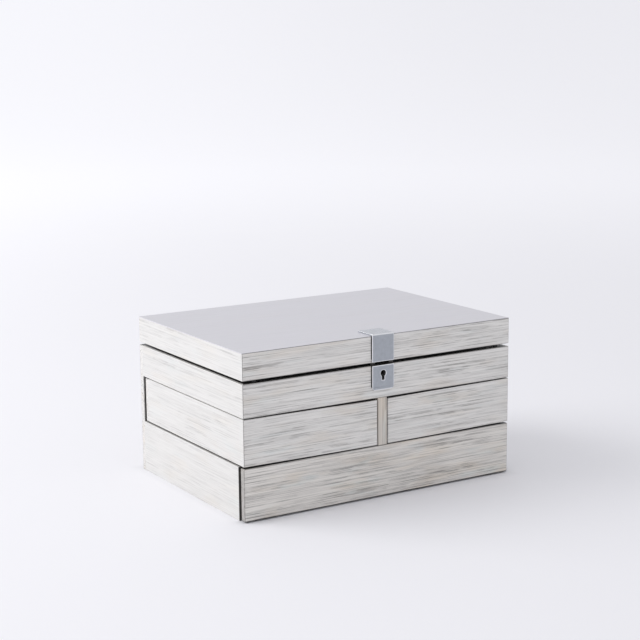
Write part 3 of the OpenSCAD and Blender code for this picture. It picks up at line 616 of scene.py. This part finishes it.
def velvet(name):
    """Short dense pile that catches light at its tips, brushed in soft patches along X."""
    cloth = settings().cloth
    material, tree, shader, place = start_material(name)
    tuft = mottle(tree, place, along(0, cloth.pile * 1.4, cloth.pile), (0.0, 0.0, 0.0), 2.0, 0.6)
    nap = mottle(tree, place, along(0, 0.03, 0.012), (3.0, 1.0, 6.0), 3.0, 0.55)
    brushed = weigh(tree, (step(tree, nap, 0.38, 0.66), 0.7), (tuft, 0.3))
    join(
        tree,
        shader,
        Base_Color=blend_colours(tree, brushed, cloth.velvet, cloth.nap),
        Roughness=step(tree, tuft, 0.2, 0.8, 0.8, 1.0),
    )
    shader.inputs["Sheen Weight"].default_value = 0.55
    shader.inputs["Sheen Roughness"].default_value = 0.4
    shader.inputs["Sheen Tint"].default_value = (*cloth.sheen, 1.0)
    shader.inputs["Specular IOR Level"].default_value = 0.15
    raise_grain(tree, shader, tuft, cloth.pile, 0.5)
    return material


def felt():
    """Pressed wool with matted fibres and flecks of lint."""
    cloth = settings().cloth
    material, tree, shader, place = start_material("Felt")
    fibre = mottle(tree, place, (0.0022, 0.0004, 0.0004), (0.0, 0.0, 0.0), 4.0, 0.7)
    crossed = mottle(tree, place, (0.0004, 0.0022, 0.0004), (9.0, 0.0, 0.0), 4.0, 0.7)
    mat = calc(tree, "MAXIMUM", fibre, crossed)
    flecks = mottle(tree, place, (0.0009, 0.0009, 0.0009), (4.0, 4.0, 4.0), 2.0)
    lint = step(tree, flecks, 0.68, 0.78, 0.0, 0.5)
    pale = tuple(2.6 * c for c in cloth.felt)
    body = blend_colours(tree, step(tree, mat, 0.45, 0.75), cloth.felt, pale)
    join(
        tree,
        shader,
        Base_Color=blend_colours(tree, lint, body, tuple(6 * c for c in cloth.felt)),
        Roughness=step(tree, mat, 0.2, 0.8, 0.9, 1.0),
    )
    shader.inputs["Sheen Weight"].default_value = 0.25
    raise_grain(tree, shader, mat, 0.0002, 0.7)
    return material


def moulded(name, tint, grain, roughness):
    """Moulded rubber or nylon: fine matt grain with a faint flow pattern and dust."""
    material, tree, shader, place = start_material(name)
    pebble = mottle(tree, place, (grain, grain, grain), (0.0, 0.0, 0.0), 3.0, 0.6)
    flow = mottle(tree, place, (0.02, 0.004, 0.004), (2.0, 2.0, 2.0), 2.0)
    dust = step(tree, flow, 0.4, 0.8, 0.0, 0.25)
    pale = tuple(min(1.0, c * 1.25 + 0.03) for c in tint)
    join(
        tree,
        shader,
        Base_Color=blend_colours(tree, dust, tint, pale),
        Roughness=step(tree, pebble, 0.2, 0.8, roughness - 0.08, roughness + 0.08),
    )
    raise_grain(tree, shader, pebble, grain * 0.2, 0.5)
    return material


# ---------------------------------------------------------------- shape helpers


def union_box(*names):
    """Lowest and highest corner of several nodes together."""
    boxes = [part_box(name) for name in names]
    low = Vector(min(b[0][i] for b in boxes) for i in range(3))
    high = Vector(max(b[1][i] for b in boxes) for i in range(3))
    return low, high


def longest_axis(name):
    """The axis that a board's grain runs along."""
    low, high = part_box(name)
    sides = high - low
    return max(range(3), key=lambda i: sides[i])


def outer_edge_marker():
    """Geometry nodes that weight, for a bevel, the edges lying on two outer faces of a box."""
    name = "Mark Outer Edges"
    if name in bpy.data.node_groups:
        return bpy.data.node_groups[name]
    group = bpy.data.node_groups.new(name, "GeometryNodeTree")
    face = group.interface
    face.new_socket("Geometry", in_out="INPUT", socket_type="NodeSocketGeometry")
    for corner in ("Low", "High", "Reach"):
        face.new_socket(corner, in_out="INPUT", socket_type="NodeSocketVector")
    face.new_socket("Geometry", in_out="OUTPUT", socket_type="NodeSocketGeometry")
    enter = group.nodes.new("NodeGroupInput")
    leave = group.nodes.new("NodeGroupOutput")
    where = group.nodes.new("GeometryNodeInputPosition").outputs[0]

    def vector(operation, first, second=None):
        node = group.nodes.new("ShaderNodeVectorMath")
        node.operation = operation
        group.links.new(first, node.inputs[0])
        if second is not None:
            group.links.new(second, node.inputs[1])
        return node.outputs[0]

    below = vector("ABSOLUTE", vector("SUBTRACT", where, enter.outputs["Low"]))
    above = vector("ABSOLUTE", vector("SUBTRACT", where, enter.outputs["High"]))
    spare = vector("SUBTRACT", vector("MINIMUM", below, above), enter.outputs["Reach"])
    parts = group.nodes.new("ShaderNodeSeparateXYZ")
    group.links.new(spare, parts.inputs[0])
    count = None
    for part in parts.outputs:
        on_face = group.nodes.new("ShaderNodeMath")
        on_face.operation = "LESS_THAN"
        on_face.inputs[1].default_value = 0.0
        group.links.new(part, on_face.inputs[0])
        if count is None:
            count = on_face.outputs[0]
            continue
        total = group.nodes.new("ShaderNodeMath")
        group.links.new(count, total.inputs[0])
        group.links.new(on_face.outputs[0], total.inputs[1])
        count = total.outputs[0]
    both = group.nodes.new("ShaderNodeMath")
    both.operation = "GREATER_THAN"
    both.inputs[1].default_value = 1.5
    group.links.new(count, both.inputs[0])
    store = group.nodes.new("GeometryNodeStoreNamedAttribute")
    store.domain = "EDGE"
    store.data_type = "FLOAT"
    store.inputs["Name"].default_value = "bevel_weight_edge"
    group.links.new(enter.outputs["Geometry"], store.inputs["Geometry"])
    group.links.new(both.outputs[0], store.inputs["Value"])
    group.links.new(store.outputs[0], leave.inputs["Geometry"])
    return group


def ease(node, width, segments=2, box=None, reach=(ON_FACE,) * 3):
    """Rounds a CAD node's edges with modifiers: all sharp ones, or only those on the outside of a box."""
    weld = node.modifiers.new("Close corners", "WELD")
    weld.merge_threshold = SAME_CORNER
    flat = node.modifiers.new("Whole faces", "DECIMATE")
    flat.decimate_type = "DISSOLVE"
    flat.angle_limit = SAME_FACE
    if box is not None:
        mark = node.modifiers.new("Outer edges", "NODES")
        mark.node_group = outer_edge_marker()
        sockets = mark.node_group.interface.items_tree
        for name, value in (("Low", box[0]), ("High", box[1]), ("Reach", reach)):
            mark[sockets[name].identifier] = tuple(value)
    bevel = node.modifiers.new("Eased edges", "BEVEL")
    bevel.width = width
    bevel.segments = segments
    bevel.limit_method = "WEIGHT" if box is not None else "ANGLE"
    bevel.angle_limit = math.radians(40)
    bevel.harden_normals = True
    bevel.use_clamp_overlap = True


def finish_node(name, material):
    """Gives a CAD node one material."""
    node = NODES[name]
    node.data.materials.clear()
    node.data.materials.append(material)
    return node


def add_piece(name, mesh, body, material):
    """Links a new mesh as a piece that rides on a body and takes its finish from a slot."""
    piece = bpy.data.objects.new(name, mesh)
    bpy.context.scene.collection.objects.link(piece)
    mesh.materials.append(material)
    for face in mesh.polygons:
        face.use_smooth = True
    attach(piece, body)
    return piece


def wrapped_cards(node_name, piece_name, body, material, rounding, swell, grid=7 * MM):
    """Cards wrapped in cloth: the node's solids with rounded edges and slightly swollen faces."""
    broad_waves, fine_waves = 55, 160
    cloud = bmesh.new()
    cloud.from_mesh(NODES[node_name].data)
    bmesh.ops.remove_doubles(cloud, verts=cloud.verts, dist=SAME_CORNER)
    bmesh.ops.dissolve_limit(cloud, angle_limit=SAME_FACE, verts=cloud.verts, edges=cloud.edges)
    bmesh.ops.bevel(
        cloud,
        geom=cloud.edges[:],
        offset=rounding,
        segments=3,
        profile=0.5,
        affect="EDGES",
        clamp_overlap=True,
    )
    low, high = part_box(node_name)
    for axis in range(3):
        count = int((high[axis] - low[axis]) / grid)
        for i in range(1, count + 1):
            at = Vector((0, 0, 0))
            at[axis] = low[axis] + (high[axis] - low[axis]) * i / (count + 1)
            normal = Vector((0, 0, 0))
            normal[axis] = 1
            geometry = cloud.verts[:] + cloud.edges[:] + cloud.faces[:]
            bmesh.ops.bisect_plane(cloud, geom=geometry, dist=1e-7, plane_co=at, plane_no=normal)
    cloud.normal_update()
    moves = []
    for vertex in cloud.verts:
        billow = noise.noise(vertex.co * broad_waves) + 0.5 * noise.noise(vertex.co * fine_waves)
        moves.append(vertex.normal * (swell * (0.35 * billow - 0.3)))
    for vertex, move in zip(cloud.verts, moves):
        vertex.co += move
    mesh = bpy.data.meshes.new(piece_name)
    cloud.to_mesh(mesh)
    cloud.free()
    piece = add_piece(piece_name, mesh, body, material)
    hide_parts(node_name)
    return piece


def roll_mesh(name, low, high, seed, slack):
    """A foam roll wrapped in velvet: nearly round, flattened where it rests, puckered at its ends."""
    rings, sides = 56, 40
    # The ends draw in over this share of the half length, from a size of 1 to 0.55
    gathered, end_size, end_growth = 0.055, 0.55, 0.45
    # Powers below 1 square off the sides, the flattened underside and the top
    side_power, under_power, top_power = 0.94, 0.86, 0.97
    puckers, button_depth = 11, 0.8 * MM
    centre = (low + high) / 2
    half = (high - low) / 2
    cloud = bmesh.new()
    loops = []
    for i in range(rings + 1):
        t = -1 + 2 * i / rings
        x = centre.x + half.x * math.copysign(1 - (1 - abs(t)) ** 1.6, t)
        inset = 1 - abs(x - centre.x) / half.x
        end = min(1.0, inset / gathered)
        taper = end_size + end_growth * math.sqrt(1 - (1 - end) ** 2)
        loop = []
        for j in range(sides):
            angle = 2 * math.pi * j / sides
            c, s = math.cos(angle), math.sin(angle)
            y = math.copysign(abs(c) ** side_power, c)
            z = math.copysign(abs(s) ** (under_power if s < 0 else top_power), s)
            pucker = (1 - end) * 0.6 * math.cos(puckers * angle + seed)
            drift = noise.noise(Vector((x * 70, c * 1.3 + seed, s * 1.3)))
            crease = noise.noise(Vector((x * 260, c * 2.2, s * 2.2 + seed)))
            dent = slack * (0.9 * drift + 0.45 * crease + pucker - 0.9)
            out_y = y * (half.y * taper + dent)
            out_z = z * (half.z * taper + dent)
            loop.append(cloud.verts.new(Vector((x, centre.y + out_y, centre.z + out_z))))
        loops.append(loop)
    for first, second in zip(loops, loops[1:]):
        for j in range(sides):
            k = (j + 1) % sides
            cloud.faces.new((first[j], second[j], second[k], first[k]))
    for loop, outward in ((loops[0], -1), (loops[-1], 1)):
        button = cloud.verts.new(Vector((loop[0].co.x - outward * button_depth, centre.y, centre.z)))
        for j in range(sides):
            corners = [loop[j], loop[(j + 1) % sides], button]
            cloud.faces.new(corners if outward > 0 else corners[::-1])
    bmesh.ops.recalc_face_normals(cloud, faces=cloud.faces)
    mesh = bpy.data.meshes.new(name)
    cloud.to_mesh(mesh)
    cloud.free()
    return mesh


def loose_boxes(node_name):
    """The box of each separate solid in a node, from front to back."""
    cloud = bmesh.new()
    cloud.from_mesh(NODES[node_name].data)
    bmesh.ops.remove_doubles(cloud, verts=cloud.verts, dist=SAME_CORNER)
    left = set(cloud.verts)
    boxes = []
    while left:
        todo = [left.pop()]
        found = []
        while todo:
            vertex = todo.pop()
            found.append(vertex.co.copy())
            for edge in vertex.link_edges:
                other = edge.other_vert(vertex)
                if other in left:
                    left.remove(other)
                    todo.append(other)
        low = Vector(min(p[i] for p in found) for i in range(3))
        high = Vector(max(p[i] for p in found) for i in range(3))
        boxes.append((low, high))
    cloud.free()
    return sorted(boxes, key=lambda b: (round(b[0].y, 5), round(b[0].x, 5)))


# ---------------------------------------------------------------- operators


class JEWELLERY_OT_silvered_boards(bpy.types.Operator):
    """Finishes the whitewashed boards and eases their outer edges"""

    bl_idname = "jewellery.silvered_boards"
    bl_label = "Silvered boards"

    def execute(self, context):
        wood = settings().wood
        case = union_box("back_panel", "tray_front_rail", "lower_left_side")
        tray = (Vector((case[0].x, case[0].y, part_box("tray_front_rail")[0].z)), case[1])
        lower_low, lower_high = union_box(*LOWER_SIDES)
        lower = (lower_low, Vector((lower_high.x, case[1].y, lower_high.z)))
        lid = union_box(*LID_BOARDS)
        partition, back_rail, long_front = (
            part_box(name) for name in ("centre_partition", "tray_back_rail", "bottom_drawer_front")
        )
        # Each group's boards, the box whose edges are eased, the box whose outside is silvered, and the width
        # of the easing
        groups = [
            (LID_BOARDS, lid, lid, wood.eased),
            (TRAY_BOARDS, tray, case, wood.eased),
            (LOWER_SIDES, lower, case, wood.eased),
            (("back_panel",), case, case, wood.eased),
            (("centre_partition",), partition, partition, wood.eased * 0.6),
            (("tray_back_rail",), back_rail, case, wood.eased * 0.6),
            (("bottom_drawer_front",), long_front, long_front, wood.drawer_eased),
        ]
        for side in ("left", "right"):
            boards = tuple(f"{side}_drawer_{part}" for part in SWING_BOARDS)
            drawer = union_box(*boards)
            groups.append((boards, drawer, drawer, wood.eased))
        seed = 0
        for names, box, outside, width in groups:
            for name in names:
                seed += 1
                axis = 2 if name == "centre_partition" else longest_axis(name)
                look = {**(FRONT_LOOK if axis == 0 else SIDE_LOOK), **OWN_LOOKS.get(name, {})}
                material = silvered_wood(f"Silvered wood {name}", axis, seed, box, outside, look)
                node = finish_node(name, material)
                sheared = name.startswith(("left_drawer", "right_drawer"))
                reach = (ON_FACE, ON_FACE, SLOPE if sheared else ON_FACE)
                ease(node, width, 3 if width > wood.eased else 2, box, reach)
        return {"FINISHED"}


class JEWELLERY_OT_inner_boards(bpy.types.Operator):
    """Finishes the plain sanded boards inside"""

    bl_idname = "jewellery.inner_boards"
    bl_label = "Inner boards"

    def execute(self, context):
        inner = settings().inner
        woods = [sanded_wood(f"Sanded wood {'XYZ'[axis]}", axis, 3.7 * axis + 1) for axis in range(3)]
        for name, node in NODES.items():
            if node.data.materials[0].name.startswith("inner_wood"):
                ease(finish_node(name, woods[longest_axis(name)]), inner.eased)
        return {"FINISHED"}


class JEWELLERY_OT_metalwork(bpy.types.Operator):
    """Finishes the strap, keyhole plate, hinges, mirror frame, lock, pins and screws"""

    bl_idname = "jewellery.metalwork"
    bl_label = "Metalwork"

    def execute(self, context):
        metal = settings().metal
        satin = satin_metal("Satin metal", 0, tuple(metal.satin), metal.roughness, 1.0)
        steel = satin_metal("Lock steel", 0, tuple(metal.steel), metal.roughness + 0.06, 0.3)
        fittings = {
            name: satin_metal(f"Satin metal {name}", 2, tuple(metal.satin), metal.roughness, 1.0, name)
            for name in ("lid_strap", "keyhole_plate")
        }
        for name, node in NODES.items():
            was = node.data.materials[0].name
            if was.startswith("satin_metal"):
                finish_node(name, fittings.get(name, satin))
                ease(node, metal.strap_eased if name in fittings else metal.eased, 3)
            elif was.startswith("lock_steel"):
                finish_node(name, steel)
                ease(node, metal.eased * 0.5)
        return {"FINISHED"}


class JEWELLERY_OT_small_fittings(bpy.types.Operator):
    """Finishes the mirror, the rubber bumpers, the runners and the washers"""

    bl_idname = "jewellery.small_fittings"
    bl_label = "Mirror, bumpers and runners"

    def execute(self, context):
        ease(finish_node("lid_mirror", silvered_glass(*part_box("lid_mirror"))), 0.5 * MM)
        rubber = moulded("Bumper rubber", (0.022, 0.022, 0.022), 0.0004, 0.75)
        nylon = moulded("Nylon", (0.72, 0.71, 0.67), 0.0003, 0.5)
        ease(finish_node("lid_bumpers", rubber), 0.4 * MM, 3)
        ease(finish_node("drawer_runners", nylon), 0.2 * MM)
        ease(finish_node("swing_washers", nylon), 0.2 * MM)
        return {"FINISHED"}


class JEWELLERY_OT_linings(bpy.types.Operator):
    """Wraps the cards of the tray, lid and drawers in velvet"""

    bl_idname = "jewellery.linings"
    bl_label = "Velvet linings"

    def execute(self, context):
        cloth = settings().cloth
        pile = velvet("Velvet")
        rounding, swell = cloth.card_round, cloth.card_swell
        wrapped_cards("tray_lining", "tray_velvet", "case", pile, rounding, swell)
        wrapped_cards("tray_dividers", "divider_velvet", "case", pile, 1.2 * MM, swell)
        wrapped_cards("lid_lining", "lid_velvet", "lid", pile, rounding, swell)
        for side in ("left", "right", "bottom"):
            drawer = f"{side}_drawer"
            wrapped_cards(f"{drawer}_lining", f"{drawer}_velvet", drawer, pile, rounding, swell)
        return {"FINISHED"}


class JEWELLERY_OT_ring_rolls(bpy.types.Operator):
    """Makes the padded velvet rolls that hold rings"""

    bl_idname = "jewellery.ring_rolls"
    bl_label = "Ring rolls"

    def execute(self, context):
        pile = velvet("Roll velvet")
        for i, (low, high) in enumerate(loose_boxes("ring_rolls")):
            name = f"ring_roll_{i + 1}"
            mesh = roll_mesh(name, low, high, 1.9 * i, settings().cloth.roll_slack)
            roll = add_piece(name, mesh, "case", pile)
            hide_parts("ring_rolls")
        return {"FINISHED"}


class JEWELLERY_OT_base_felt(bpy.types.Operator):
    """Lays the felt under the chest"""

    bl_idname = "jewellery.base_felt"
    bl_label = "Base felt"

    def execute(self, context):
        sheet = wrapped_cards("base_felt", "felt_sheet", "case", felt(), 0.2 * MM, 0.1 * MM)
        return {"FINISHED"}


class JEWELLERY_OT_studio(bpy.types.Operator):
    """Makes the pale floor, the lights and the camera"""

    bl_idname = "jewellery.studio"
    bl_label = "Studio"

    def execute(self, context):
        studio = settings().studio
        make_floor(studio)
        make_lights(studio)
        make_camera(studio)
        context.scene.view_settings.view_transform = "Standard"
        return {"FINISHED"}


def floor_material(studio):
    """Pale matt finish, with its own light: none under the chest, most far off on the window's side."""
    material, tree, shader, place = start_material("Studio floor")
    mottled = mottle(tree, place, (0.5, 0.5, 0.5), (0.0, 0.0, 0.0), 2.0)
    tint = tuple(studio.floor)
    join(
        tree,
        shader,
        Base_Color=blend_colours(tree, mottled, tint, tuple(0.992 * c for c in tint)),
        Roughness=step(tree, mottled, 0.0, 1.0, 0.85, 0.95),
    )
    shader.inputs["Specular IOR Level"].default_value = 0.2
    # Painted light: the floor glows, most far off on the window's side, and not under the chest, which leaves
    # a painted shadow there
    distance = put(tree, "VectorMath", {0: place}, operation="LENGTH").outputs["Value"]
    glow = step(tree, distance, studio.glow_start, studio.glow_full, studio.near_glow, studio.glow)
    window = Vector(studio.key_place)
    across = (-window.x, -window.y, 0.0)
    from_window = put(tree, "VectorMath", {0: place, 1: across}, operation="DOT_PRODUCT").outputs["Value"]
    shade = step(tree, from_window, -4.0, 4.0, 1.12, studio.right_share)
    corner = tuple(CAD_BOX[1])
    past = put(tree, "VectorMath", {0: absolute(tree, place), 1: corner}, operation="SUBTRACT").outputs[0]
    past_x, past_y, _ = split(tree, past)
    open_floor = step(tree, calc(tree, "MAXIMUM", past_x, past_y), 0.0, 12 * MM)
    join(tree, shader, Emission_Strength=chain(tree, "MULTIPLY", glow, shade, open_floor))
    shader.inputs["Emission Color"].default_value = (*studio.sky, 1.0)
    return material


def make_floor(studio):
    """A wide round floor that is flat near the chest and curves up gently far away on every side."""
    flat_radius, far_radius, rise = 2.5, 14.0, 4.0
    flat_rings, rising_rings, sides = 6, 24, 64
    radii = [flat_radius * i / flat_rings for i in range(1, flat_rings + 1)]
    for i in range(1, rising_rings + 1):
        radii.append(flat_radius + (far_radius - flat_radius) * i / rising_rings)
    cloud = bmesh.new()
    middle = cloud.verts.new((0, 0, 0))
    before = None
    for radius in radii:
        lift = rise * (max(0.0, radius - flat_radius) / (far_radius - flat_radius)) ** 2
        ring = []
        for j in range(sides):
            angle = 2 * math.pi * j / sides
            ring.append(cloud.verts.new((radius * math.cos(angle), radius * math.sin(angle), lift)))
        for j in range(sides):
            k = (j + 1) % sides
            if before is None:
                cloud.faces.new((middle, ring[j], ring[k]))
            else:
                cloud.faces.new((before[j], ring[j], ring[k], before[k]))
        before = ring
    mesh = bpy.data.meshes.new("studio_floor")
    cloud.to_mesh(mesh)
    cloud.free()
    floor = bpy.data.objects.new("studio_floor", mesh)
    bpy.context.scene.collection.objects.link(floor)
    mesh.materials.append(floor_material(studio))
    for face in mesh.polygons:
        face.use_smooth = True


def make_lights(studio):
    """Soft fill from all round and a large window light from behind on the left."""
    world = bpy.data.worlds.new("Studio fill")
    world.use_nodes = True
    background = world.node_tree.nodes["Background"]
    background.inputs["Color"].default_value = (*studio.sky, 1.0)
    background.inputs["Strength"].default_value = studio.sky_strength
    bpy.context.scene.world = world
    lamp = bpy.data.lights.new("Window light", "AREA")
    lamp.energy = studio.key_power
    lamp.size = studio.key_size
    light = bpy.data.objects.new("Window light", lamp)
    bpy.context.scene.collection.objects.link(light)
    light.location = studio.key_place
    aim = Vector((0, 0, 0.08)) - light.location
    light.rotation_euler = aim.to_track_quat("-Z", "Y").to_euler()
    light.visible_camera = False


def make_camera(studio):
    """A long lens from the front left, looking down a little on the lid."""
    lens = bpy.data.cameras.new("Camera")
    lens.lens = studio.camera_lens
    lens.sensor_width = 36.0
    lens.clip_start, lens.clip_end = 0.05, 60.0
    camera = bpy.data.objects.new("Camera", lens)
    bpy.context.scene.collection.objects.link(camera)
    turn, dip, roll = studio.camera_turn, studio.camera_dip, studio.camera_roll
    ahead = Vector((math.sin(turn) * math.cos(dip), math.cos(turn) * math.cos(dip), -math.sin(dip)))
    right = Vector((math.cos(turn), -math.sin(turn), 0))
    up = right.cross(ahead)
    tilted_right = math.cos(roll) * right + math.sin(roll) * up
    tilted_up = -math.sin(roll) * right + math.cos(roll) * up
    axes = Matrix((tilted_right, tilted_up, -ahead)).transposed()
    camera.matrix_world = Matrix.Translation(studio.camera_place) @ axes.to_4x4()
    bpy.context.scene.camera = camera


class JEWELLERY_PT_chest(bpy.types.Panel):
    """The chest's pieces, in the order in which they are made"""

    bl_label = "Jewellery Chest"
    bl_idname = "JEWELLERY_PT_chest"
    bl_space_type = "VIEW_3D"
    bl_region_type = "UI"
    bl_category = "Jewellery Chest"

    def draw(self, context):
        for operator in OPERATORS:
            self.layout.operator(operator.bl_idname)


OPERATORS = (
    JEWELLERY_OT_silvered_boards,
    JEWELLERY_OT_inner_boards,
    JEWELLERY_OT_metalwork,
    JEWELLERY_OT_small_fittings,
    JEWELLERY_OT_linings,
    JEWELLERY_OT_ring_rolls,
    JEWELLERY_OT_base_felt,
    JEWELLERY_OT_studio,
)
SETTINGS = (
    SilverWoodSettings,
    InnerWoodSettings,
    MetalSettings,
    ClothSettings,
    StudioSettings,
    ChestSettings,
)


def register():
    for cls in (*SETTINGS, *OPERATORS, JEWELLERY_PT_chest):
        bpy.utils.register_class(cls)
    bpy.types.Scene.jewellery_chest = bpy.props.PointerProperty(type=ChestSettings)


def unregister():
    del bpy.types.Scene.jewellery_chest
    for cls in reversed((*SETTINGS, *OPERATORS, JEWELLERY_PT_chest)):
        bpy.utils.unregister_class(cls)


def main():
    """Makes everything in order."""
    register()
    for operator in OPERATORS:
        group, name = operator.bl_idname.split(".")
        getattr(getattr(bpy.ops, group), name)()


if __name__ == "__main__":
    main()
